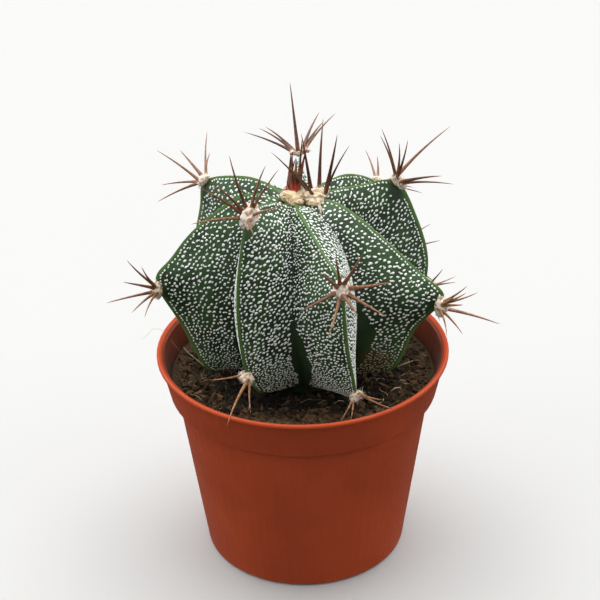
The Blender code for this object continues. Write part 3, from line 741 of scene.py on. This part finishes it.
def fleck_spacing(look, flank, s, share, spot):
    """Least distance between flecks at a spot, in millimetres; zero leaves the skin bare."""
    wander = noise(Vector(spot) / 7.0)
    start, left = BARE_STRIPS.get(flank, BARE_STRIP)
    edge = 1.0 - (1.0 - left) * clamp(s - start)
    if edge < 1.0 and share > edge + 0.05 * wander:
        return 0.0
    size = look.fleck_spacing / MM * (1.0 - LOW_SQUEEZE * clamp((s - 6.0) / 0.9))
    if s < 4.6:
        size *= 1.0 - GROOVE_SQUEEZE * clamp((share - 0.55) / 0.35)
    return size * FLANK_FLECKS.get(flank, USUAL_FLECKS)[0] * (1.0 + 0.2 * wander)


def bare_round_areoles():
    """Centre, way up and size of the bare skin round each areole."""
    rings = []
    for bunch in BUNCHES:
        if bunch.place:
            seat, _, up = bunch_axes(bunch)
            rings.append((seat - up * 1.5, up, 0.4 + max(bunch.wool[:2])))
    return rings


def is_bare(rings, spot):
    """Whether a spot lies in bare skin, which reaches further below an areole than above it."""
    for centre, up, size in rings:
        gap = spot - centre
        if gap.length_squared > 150:
            continue
        rise = gap.dot(up)
        if (gap - up * rise * (0.4 if rise < 0 else 0.0)).length < size + 0.8 * noise(spot / 2.5):
            return True
    return False


def crest_beads(rib, side, rings, draw):
    """The close row of flecks that runs down each side of a crest."""
    beads = []
    s, last = BEAD_PLACES
    while s < last:
        crest, groove = flank_ends(rib, side, s)
        step = smooth(CRESTS[rib], s + 0.05) - crest
        share = (bead_reach(rib) + draw.normal(0.0, 0.16)) / (groove - crest).length
        spot = flank_point(crest, groove, share)
        if not is_bare(rings, spot):
            beads.append(Fleck(spot, step, BEAD_SIZE, draw.normal(0.0, 0.25), 0.75))
        s += 0.05 * BEAD_STEP * draw.uniform(0.75, 1.25) / step.length
    return beads


def cell_of(spot):
    return tuple(int(c // CELL) for c in spot)


def make_flecks(look):
    """White felt flecks, drawn so that none crowds another: fine and close low down and by the crests."""
    skin = surface_of("skin")
    rings = bare_round_areoles()
    material = felt_material("white felt flecks", look.fleck, 0.85, 0.8, 0.15)
    draw = np.random.default_rng(look.seed)
    taken = {}
    for index, rib in enumerate(RIBS):
        found = []
        for side in (1, -1):
            flank = (rib.name, side)
            beads = crest_beads(index, side, rings, draw)
            found += beads
            for bead in beads:
                taken.setdefault(cell_of(bead.spot), []).append((*bead.spot, bead.size))
            for spot, s, share, reach, across, down in draw_on_flank(index, side, draw):
                size = fleck_spacing(look, flank, s, share, spot)
                if size == 0.0 or reach < bead_reach(index) + 0.3:
                    continue
                i, j, k = cell_of(spot)
                near = [row for a in (-1, 0, 1) for b in (-1, 0, 1) for c in (-1, 0, 1)
                        for row in taken.get((i + a, j + b, k + c), ())]
                x, y, z = spot
                crowded = any((x - a)**2 + (y - b)**2 + (z - c)**2 < size * min(size, other)
                              for a, b, c, other in near)
                spot = Vector(spot)
                if crowded or is_bare(rings, spot):
                    continue
                taken.setdefault((i, j, k), []).append((x, y, z, size))
                along = Vector(down if flank == FELTED_FLANK else across)
                # Every fleck is turned from straight across the flank, so that it rises to the right
                fleck = Fleck(spot, along, size * FLANK_FLECKS.get(flank, USUAL_FLECKS)[1],
                              draw.normal(0.65 + 0.2 * side, 0.35), draw.uniform(0.46, 0.74))
                found.append(fleck)
                if draw.random() < TWIN_SHARE:
                    shift = along.normalized() * size * 0.42 + Vector(draw.normal(0.0, 0.25, 3))
                    found.append(fleck._replace(spot=spot + shift, size=size * 0.8,
                                                turn=fleck.turn + draw.normal(0.0, 0.7)))
        place_flecks(rib.name, found, skin, look, material, draw)


def place_flecks(name, found, skin, look, material, draw):
    """Set every fleck of a rib on the skin as a little closed dome with a ragged oval outline."""
    count = len(found)
    centres, longs, sides, normals = (np.zeros((count, 3)) for _ in range(4))
    swell = draw.uniform(0.85, 1.15, count)
    share = look.fleck_length / look.fleck_spacing
    dust = []
    for k, fleck in enumerate(found):
        where, normal, _, _ = skin.find_nearest(fleck.spot * MM)
        along = (fleck.along - normal * fleck.along.dot(normal)).normalized()
        along.rotate(Matrix.Rotation(fleck.turn, 3, normal))
        half = 0.5 * fleck.size * share * swell[k]
        centres[k] = where / MM
        normals[k] = normal
        longs[k] = along * half
        sides[k] = normal.cross(along) * half * fleck.slim
        # Flecks round the scars are soiled; lower down, toward the soil, their dull brown is painted shade
        soiled = 0.45 * clamp((92 - fleck.spot.z) / 16) + 0.9 * scar_at(fleck.spot)
        dust += [min(0.85, soiled * swell[k])] * (2 * FLECK_SIDES + 1)
    jitter = draw.uniform(0.75, 1.22, (count, FLECK_SIDES, 1))
    turns = (np.arange(FLECK_SIDES) * tau / FLECK_SIDES)[None, :, None]
    ring = (np.cos(turns) * longs[:, None] + np.sin(turns) * sides[:, None]) * jitter
    rise = FLECK_HEIGHT * normals[:, None]
    middle = centres[:, None]
    verts = np.concatenate((middle + ring - 0.3 * rise, middle + 0.7 * ring + 0.75 * rise,
                            middle + rise), axis=1)
    n = FLECK_SIDES
    pattern = [tuple(reversed(range(n)))] + wall(0, n) + fan(n, n)
    faces = [tuple((2 * n + 1) * k + i for i in face) for k in range(count) for face in pattern]
    make_piece("flecks_" + name, verts.reshape(-1, 3), faces, material, "wool_and_spines", dust=dust)


def wall(low, sides):
    """Faces between one ring of points and the next."""
    return [(low + i, low + (i + 1) % sides, low + sides + (i + 1) % sides, low + sides + i)
            for i in range(sides)]


def fan(low, sides):
    """Faces between a ring of points and the point that follows it."""
    return [(low + i, low + (i + 1) % sides, low + sides) for i in range(sides)]


def tube(verts, faces, path, radii, sides, flat=1.0, lift=None):
    """Append a closed tube that runs along a path and ends in a point."""
    start = len(verts)
    for k, centre in enumerate(path[:-1]):
        along = (path[k + 1] - path[max(k - 1, 0)]).normalized()
        first = along.cross(lift or Vector((0.0, 0.0, 1.0)))
        if first.length < 0.05:
            first = along.cross(Vector((1.0, 0.0, 0.0)))
        first.normalize()
        second = first.cross(along)
        for turn in (tau * i / sides for i in range(sides)):
            verts.append(centre + (first * cos(turn) + second * sin(turn) * flat) * radii[k])
    last = len(verts) - sides
    verts.append(path[-1])
    faces.append(tuple(reversed(range(start, start + sides))))
    for low in range(start, last, sides):
        faces += wall(low, sides)
    faces += fan(last, sides)


def all_spines():
    """Every bunch's spines. One that the photo doesn't show gets a ring of six round one in the middle."""
    draw = random.Random(SPINE_SEED)
    found = {}
    for bunch in BUNCHES:
        spines = list(bunch.spines or [(0, 8, 22)])
        for i in range(0 if bunch.spines else 6):
            spines.append((60 * i + draw.uniform(-14, 14), draw.uniform(52, 70), draw.uniform(17, 22)))
        found[bunch.name] = [(radians(turn), radians(lean), size) for turn, lean, size in spines]
    return found


def make_spines(look):
    """Horny spines, each swollen at its base and bowed, in a bunch for each areole."""
    bend = random.Random(BEND_SEED)
    dead = spine_material("dead horny spines", look.straw, look.brown)
    young = spine_material("young spines", look.straw, look.brown, look.red)
    spines = all_spines()
    for bunch in BUNCHES:
        centre, out, up, side = bunch_frame(bunch)
        verts, faces, along, age = [], [], [], []
        fresh = bunch.name == "areole_crown_young"
        for turn, lean, size in spines[bunch.name]:
            tilt = up * cos(turn) + side * sin(turn)
            direction = out * cos(lean) + tilt * sin(lean)
            root = centre + tilt * ROOT_SPREAD * bunch.wool[1] * (0.78 if fresh else 1.0)
            across = direction.cross(out if abs(direction.dot(out)) < 0.98 else up).normalized()
            lift = across.cross(direction).normalized()
            sway = bend.uniform(-0.012, 0.012)
            path = []
            for share, _ in SPINE_PROFILE + ((1.0, 0.0),):
                bow = 4 * share * (1 - share) * size
                path.append(root + direction * size * share + lift * SPINE_BEND * bow + across * sway * bow)
            thick = (SPINE_THICKNESS[0] + SPINE_THICKNESS[1] * size) * bend.uniform(0.9, 1.08)
            thick *= YOUNG_STOUT if fresh and size < YOUNG_LENGTH else STOUT.get(bunch.name, 1.0)
            tube(verts, faces, path, [thick * r for _, r in SPINE_PROFILE], SPINE_SIDES, 0.78, lift)
            tone = clamp(bunch.age + bend.uniform(-0.2, 0.2))
            grown = bend.uniform(0.85, 2.1) if fresh else 1.0
            for share, _ in SPINE_PROFILE:
                along += [min(share * grown, 1.0)] * SPINE_SIDES
            along.append(1.0)
            age += [tone] * (len(along) - len(age))
        make_piece("spines_" + bunch.name, verts, faces, young if fresh else dead, "wool_and_spines",
                   bunch.name, along=along, age=age)


def ball(detail):
    """Points and faces of a ball of triangles, one unit in radius."""
    made = bmesh.new()
    bmesh.ops.create_icosphere(made, subdivisions=detail, radius=1.0)
    shape = [v.co.copy() for v in made.verts], [[v.index for v in f.verts] for f in made.faces]
    made.free()
    return shape


def fold(spot):
    """Soft silky folds: 0 in a crease, 1 on a broad ridge."""
    return 1.0 - min((2.1 * noise(spot)) ** 2, 1.0)


def wool_tuft(verts, faces, crease_shades, place, half, peaks, folds, draw):
    """Append one tuft of wool, drawn up in a peak round the foot of each spine."""
    points, sides = ball(5 if half.x > 2.5 else 4)
    offset = drawn(draw.uniform, -50, 50)
    start = len(verts)
    for d in (point.normalized() for point in points):
        wide = fold(d * 1.3 + offset)
        narrow = fold(Vector((d.x * 2.7, d.y * 2.7, d.z * 1.3)) + offset)
        fine = noise(d * 9 + offset)
        swell = 0.7 + 0.18 * wide + 0.17 * (1 - folds * (1 - narrow)) + 0.05 * fine
        near = min(((d - peak).length for peak in peaks), default=9.0)
        swell += PEAK_RISE * exp(-(near / PEAK_WIDTH) ** 2)
        verts.append(place(d.x * half.x * swell, d.y * half.y * swell, d.z * half.z * swell))
        # Painted shade: darker in the creases between folds and on the tuft's lower side, most of all on the
        # crown
        deep = 1.3 - 0.75 * narrow - 0.45 * wide - 0.4 * fine - 0.25 * d.z + (1 - folds) * (0.45 - 0.6 * d.z)
        crease_shades.append(clamp(deep))
    faces += [tuple(start + i for i in side) for side in sides]


def make_wool(look):
    """Clumped wool in every areole, with loose fibres standing out of it."""
    draw = random.Random(WOOL_SEED)
    spines = all_spines()
    for bunch in BUNCHES:
        centre, out, up, side = bunch_frame(bunch)
        full = Vector(bunch.wool) * WOOL_SWELL
        shade = blend(look.wool, look.crown_wool, bunch.warmth)
        material = felt_material("wool of " + bunch.name, shade, 0.88, 1.2, 0.35)
        verts, faces, crease_shades = [], [], []
        for rise, shift, away, size in TUFTS.get(bunch.name, ONE_TUFT):
            half = full * size
            middle = centre + up * rise * full.x + side * shift * full.y + out * away * full.z

            def place(a, b, c):
                return middle + up * a + side * b + out * c

            # The crown's spines stand close together, so its wool has no peaks
            peaks = [Vector((cos(turn) * sin(lean) / half.x, sin(turn) * sin(lean) / half.y,
                             cos(lean) / half.z)).normalized()
                     for turn, lean, _ in (spines[bunch.name] if bunch.place else ())]
            wool_tuft(verts, faces, crease_shades, place, half, peaks, 1.0 if bunch.place else 0.45, draw)
            for _ in range(int(look.fibres * size)):
                d = drawn(draw.gauss, 0, 1).normalized()
                d.z = abs(d.z) if d.z < -0.3 else d.z
                root = place(d.x * half.x * 0.9, d.y * half.y * 0.9, d.z * half.z * 0.9)
                stand = (up * d.x / half.x + side * d.y / half.y + out * d.z / half.z).normalized()
                lie = (stand + drawn(draw.gauss, 0, 0.7)).normalized()
                curl = drawn(draw.gauss, 0, 0.5)
                reach = look.fibre_length / MM * draw.uniform(0.5, 1.15)
                path = [root + lie * reach * t + curl * reach * t * t for t in (0.0, 0.35, 0.7, 1.0)]
                tube(verts, faces, path, FIBRE_RADII, 3)
            crease_shades += [0.1] * (len(verts) - len(crease_shades))
        for _ in range(STRAND_COUNT if bunch.name == "areole_crown_old" else 0):
            shift = Vector([draw.gauss(0, 0.3), draw.gauss(0, 0.4), 0.0])
            path = [Vector(p) + shift * (0.4 + 0.25 * i) + Vector((0, 0, draw.uniform(0, 0.15)))
                    for i, p in enumerate(STRANDS[:draw.randint(4, 5)])]
            tube(verts, faces, path, STRAND_RADII, 4)
        crease_shades += [0.1] * (len(verts) - len(crease_shades))
        make_piece("wool_" + bunch.name, verts, faces, material, "wool_and_spines", bunch.name,
                   crease=crease_shades)


def soil_relief(x, y):
    """Height of the fine crumbs over the packed soil, in millimetres."""
    fine, coarse, grit = (noise(Vector((x, y, layer)) / apart) for layer, apart in SOIL_NOISE)
    return 0.6 + 0.7 * fine + 1.0 * coarse + 0.35 * grit


def soil_shade_and_dryness(x, y):
    """Tone of the soil: painted shade, darkest under the plant and fading toward the pot, where the soil is
    drier, and painted light in front.
    """
    front = clamp((-y - 28.0) / 9.0)
    return clamp((hypot(x, y) - 36.0) / 24.0, -0.3, 0.35) + 0.85 * front


def height_at(surface, x, y, above):
    """Height of a surface under a point, in millimetres."""
    hit = surface.ray_cast(Vector((x, y, above)) * MM, Vector((0, 0, -1)))[0]
    return hit.z / MM if hit else SOIL_Z


def on_soil(top, x, y):
    return Vector((x, y, height_at(top, x, y, 76.0)))


def soil_spot(draw, top, inner, outer):
    """A drawn point on the crust, in millimetres."""
    r = sqrt(draw.uniform(inner**2, outer**2))
    turn = draw.uniform(0, tau)
    return on_soil(top, r * cos(turn), r * sin(turn))


def make_soil(look):
    """A fine crumbly crust on the soil, with loose crumbs, bark chips and dry root fibres."""
    peat = earth_material("crumbled peat", look.peat, look.dry_peat, 1.6)
    NODES["soil"].material_slots[0].material = peat
    packed = surface_of("soil")
    n = CRUST_SIDES
    verts, faces = [], []
    for i in range(CRUST_RINGS + 1):
        share = i / CRUST_RINGS
        r = SOIL_HOLE + (SOIL_EDGE - SOIL_HOLE) * share
        edge = min(1.0, 8 * share, 30 * (1 - share))
        for j in range(n):
            x, y = r * cos(tau * j / n), r * sin(tau * j / n)
            level = max(height_at(packed, x, y, 100.0), CRUST_LEAST_Z)
            verts.append((x, y, level + 0.1 + edge * soil_relief(x, y)))
    for ring in (0, CRUST_RINGS):
        verts += [(x, y, CRUST_BOTTOM_Z) for x, y, _ in verts[ring * n:(ring + 1) * n]]
    rings = [*range(CRUST_RINGS + 1), CRUST_RINGS + 2, CRUST_RINGS + 1, 0]
    for a, b in zip(rings[:-1], rings[1:]):
        faces += [(a * n + j, b * n + j, b * n + (j + 1) % n, a * n + (j + 1) % n) for j in range(n)]
    # The crust's tone carries painted shade under the plant and painted light in front
    make_piece("soil_crust", verts, faces, peat, "soil", tone=[soil_shade_and_dryness(x, y) for x, y, _ in verts])
    top = surface_of("soil_crust")
    scatter_crumbs(look, top, peat)
    scatter_chips(look, top)
    scatter_roots(look, top)


def scatter_crumbs(look, top, peat):
    """Rough crumbs of peat, most of them finer than a millimetre."""
    draw = random.Random(CRUMB_SEED)
    small, large = ball(1), ball(2)
    least, more, fine = CRUMB_SIZES
    verts, faces, tone = [], [], []
    for _ in range(look.crumbs):
        size = least + more * draw.random() ** 3
        points, sides = large if size > fine else small
        spot = soil_spot(draw, top, 17.0, SOIL_EDGE - 0.8 - size)
        axis = drawn(draw.gauss, 0, 1).normalized()
        turn = Matrix.Rotation(draw.uniform(0, tau), 3, axis)
        squash = Vector((draw.uniform(0.9, 1.5), draw.uniform(0.5, 1.0), draw.uniform(0.4, 0.8)))
        offset = drawn(draw.uniform, -90, 90)
        start = len(verts)
        for p in points:
            q = p * (1.0 + 0.8 * noise(p * 1.3 + offset) + 0.6 * noise(p * 3.1 + offset))
            verts.append(spot + Vector((0, 0, 0.2 * size)) + turn @ (q * squash) * size)
        faces += [tuple(start + i for i in side) for side in sides]
        # A crumb's tone is random, plus the painted shade and light of the soil beneath it
        tone += [draw.random() ** 3 * 1.1 + soil_shade_and_dryness(spot.x, spot.y)] * len(points)
    make_piece("soil_crumbs", verts, faces, peat, "soil", rounded=False, tone=tone)


def scatter_chips(look, top):
    """Splinters of bark and wood, lying at odd angles."""
    draw = random.Random(CHIP_SEED)
    verts, faces, tone = [], [], []
    placed = list(PLACED_CHIPS)
    for _ in range(look.chips):
        spot = soil_spot(draw, top, 22.0, SOIL_EDGE - 4.5)
        long = draw.uniform(0.7, 2.6)
        size = (long, long * draw.uniform(0.12, 0.34), draw.uniform(0.12, 0.3))
        placed.append((spot.xy, size, draw.uniform(0, 360), draw.random() ** 3))
    n = len(CHIP_OUTLINE)
    for (x, y), (long, wide, thick), heading, dryness in placed:
        spot = on_soil(top, x, y) + Vector((0, 0, 0.35))
        turn = Matrix.Rotation(radians(heading), 3, "Z") @ Matrix.Rotation(draw.uniform(-0.3, 0.3), 3, "Y")
        start = len(verts)
        for t in CHIP_CUTS:
            half = wide * (1 - 0.5 * abs(t) ** 3) * draw.uniform(0.6, 1.15)
            for across, up in CHIP_OUTLINE:
                x = t * long + draw.uniform(-0.12, 0.12) * wide
                verts.append(spot + turn @ Vector((x, half * across, up * thick * draw.uniform(0.6, 1.3))))
        last = len(verts) - n
        for low in range(start, last, n):
            faces += wall(low, n)
        faces += [tuple(reversed(range(start, start + n))), tuple(range(last, last + n))]
        tone += [dryness] * (len(verts) - start)
    dry = tuple(min(1.0, 2.4 * c) for c in look.bark)
    bark = earth_material("broken bark", look.bark, dry, 2.0)
    make_piece("bark_chips", verts, faces, bark, "soil", rounded=False, tone=tone)


def scatter_roots(look, top):
    """Dry root fibres that curl over the soil."""
    draw = random.Random(ROOT_SEED)
    verts, faces, tone = [], [], []
    placed = [(thick, dryness, [Vector(p) for p in points]) for thick, dryness, points in PLACED_ROOTS]
    for _ in range(look.roots):
        x, y, _ = soil_spot(draw, top, 20.0, SOIL_EDGE - 3)
        heading = draw.uniform(0, tau)
        step = draw.uniform(0.3, 1.3)
        curl = draw.uniform(-0.3, 0.3)
        path = []
        for i in range(9):
            if not 18 <= hypot(x, y) <= SOIL_EDGE - 2:
                break
            path.append(on_soil(top, x, y) + Vector((0, 0, 0.2 + 0.9 * sin(pi * i / 8) * abs(curl) * 3)))
            heading += curl + draw.uniform(-0.3, 0.3)
            x += step * cos(heading)
            y += step * sin(heading)
        if len(path) > 3:
            placed.append((draw.uniform(0.06, 0.18), draw.random() ** 3, path))
    for thick, dryness, path in placed:
        tube(verts, faces, path, [thick * (1 - 0.06 * i) for i in range(len(path))], 5)
        tone += [dryness] * (len(verts) - len(tone))
    fibre = earth_material("dry root fibre", dimmed(look.root, 0.3), look.root, 4)
    make_piece("root_fibres", verts, faces, fibre, "soil", tone=tone)


def make_pot(look):
    NODES["pot"].material_slots[0].material = plastic_material(look)


def soft_light(name, power, spread, source):
    """A broad, far and even light, like a large diffuser: spread is its width in degrees."""
    lamp = bpy.data.lights.new(name, "SUN")
    lamp.energy = power
    lamp.angle = radians(spread)
    new_object(name, lamp).rotation_euler = Vector(source).to_track_quat("Z", "Y").to_euler()


def make_studio(look):
    """A pale floor, soft light from above and behind, weaker light from both sides, and the camera."""
    scene = bpy.context.scene
    scene.view_settings.view_transform = "Standard"
    board = bmesh.new()
    bmesh.ops.create_grid(board, x_segments=8, y_segments=8, size=6.0)
    mesh = bpy.data.meshes.new("studio_floor")
    board.to_mesh(mesh)
    board.free()
    mesh.materials.append(floor_material(look))
    floor = new_object("studio_floor", mesh)
    soft_light("overhead_light", look.overhead, 75, (0.0, 0.4, 1.0))
    soft_light("front_light", look.front, 120, (0.0, -1.0, 0.95))
    soft_light("left_light", look.side, 90, (-1.0, 0.2, 0.45))
    soft_light("right_light", look.side * 0.85, 90, (1.0, 0.2, 0.45))
    world = bpy.data.worlds.new("studio_air")
    scene.world = world
    world.use_nodes = True
    world.node_tree.nodes["Background"].inputs["Color"].default_value = rgba(look.air)
    # The camera alone sees the board and the air, so that the plant keeps its deep shade
    floor.visible_diffuse = floor.visible_glossy = False
    world.cycles_visibility.diffuse = world.cycles_visibility.glossy = False
    camera = bpy.data.cameras.new("photo_camera")
    camera.lens = look.lens
    camera.sensor_width = 36.0
    camera.clip_start = 0.01
    camera.clip_end = 50.0
    scene.camera = new_object("photo_camera", camera)
    back = Vector((0.0, -cos(look.elevation), sin(look.elevation))) * look.distance
    scene.camera.matrix_world = (Matrix.Translation(Vector(CAMERA_TARGET) * MM + back)
                                 @ Matrix.Rotation(pi / 2 - look.elevation, 4, "X")
                                 @ Matrix.Rotation(look.roll, 4, "Z"))


class CACTUS_OT_skin(Operator):
    """Cover the plant's body with fine skin"""
    bl_idname = "cactus.skin"
    bl_label = "Skin"

    def execute(self, context):
        make_skin(context.scene.cactus_skin)
        return {"FINISHED"}


class CACTUS_OT_flecks(Operator):
    """Scatter the white felt flecks over every rib"""
    bl_idname = "cactus.flecks"
    bl_label = "Flecks"

    def execute(self, context):
        make_flecks(context.scene.cactus_skin)
        return {"FINISHED"}


class CACTUS_OT_wool(Operator):
    """Fill the areoles with wool"""
    bl_idname = "cactus.wool"
    bl_label = "Wool"

    def execute(self, context):
        make_wool(context.scene.cactus_wool)
        return {"FINISHED"}


class CACTUS_OT_spines(Operator):
    """Set the spines in their wool"""
    bl_idname = "cactus.spines"
    bl_label = "Spines"

    def execute(self, context):
        make_spines(context.scene.cactus_wool)
        return {"FINISHED"}


class CACTUS_OT_pot(Operator):
    """Finish the moulded pot"""
    bl_idname = "cactus.pot"
    bl_label = "Pot"

    def execute(self, context):
        make_pot(context.scene.cactus_pot)
        return {"FINISHED"}


class CACTUS_OT_soil(Operator):
    """Lay the crumbly soil, bark and root fibres"""
    bl_idname = "cactus.soil"
    bl_label = "Soil"

    def execute(self, context):
        make_soil(context.scene.cactus_pot)
        return {"FINISHED"}


class CACTUS_OT_studio(Operator):
    """Set up the floor, the lights and the camera"""
    bl_idname = "cactus.studio"
    bl_label = "Studio"

    def execute(self, context):
        make_studio(context.scene.cactus_studio)
        return {"FINISHED"}


SETTINGS = (
    ("cactus_skin", CactusSkinSettings),
    ("cactus_wool", CactusWoolSettings),
    ("cactus_pot", CactusPotSettings),
    ("cactus_studio", CactusStudioSettings),
)
OPERATORS = (CACTUS_OT_studio, CACTUS_OT_pot, CACTUS_OT_soil, CACTUS_OT_skin, CACTUS_OT_flecks,
             CACTUS_OT_wool, CACTUS_OT_spines)


class CACTUS_PT_sidebar(Panel):
    """Sizes, colours and steps of the potted cactus"""
    bl_idname = "CACTUS_PT_sidebar"
    bl_label = "Potted Cactus"
    bl_space_type = "VIEW_3D"
    bl_region_type = "UI"
    bl_category = "Cactus"

    def draw(self, context):
        for key, group in SETTINGS:
            box = self.layout.box()
            box.label(text=group.__doc__)
            for name in group.__annotations__:
                box.prop(getattr(context.scene, key), name)
        for step in OPERATORS:
            self.layout.operator(step.bl_idname)


def register():
    for _, group in SETTINGS:
        bpy.utils.register_class(group)
    for key, group in SETTINGS:
        setattr(bpy.types.Scene, key, PointerProperty(type=group))
    for step in OPERATORS + (CACTUS_PT_sidebar,):
        bpy.utils.register_class(step)


def unregister():
    for step in reversed(OPERATORS + (CACTUS_PT_sidebar,)):
        bpy.utils.unregister_class(step)
    for key, group in reversed(SETTINGS):
        delattr(bpy.types.Scene, key)
        bpy.utils.unregister_class(group)


def main():
    register()
    bpy.ops.cactus.studio()
    bpy.ops.cactus.pot()
    bpy.ops.cactus.soil()
    bpy.ops.cactus.skin()
    bpy.ops.cactus.flecks()
    bpy.ops.cactus.wool()
    bpy.ops.cactus.spines()


if __name__ == "__main__":
    main()
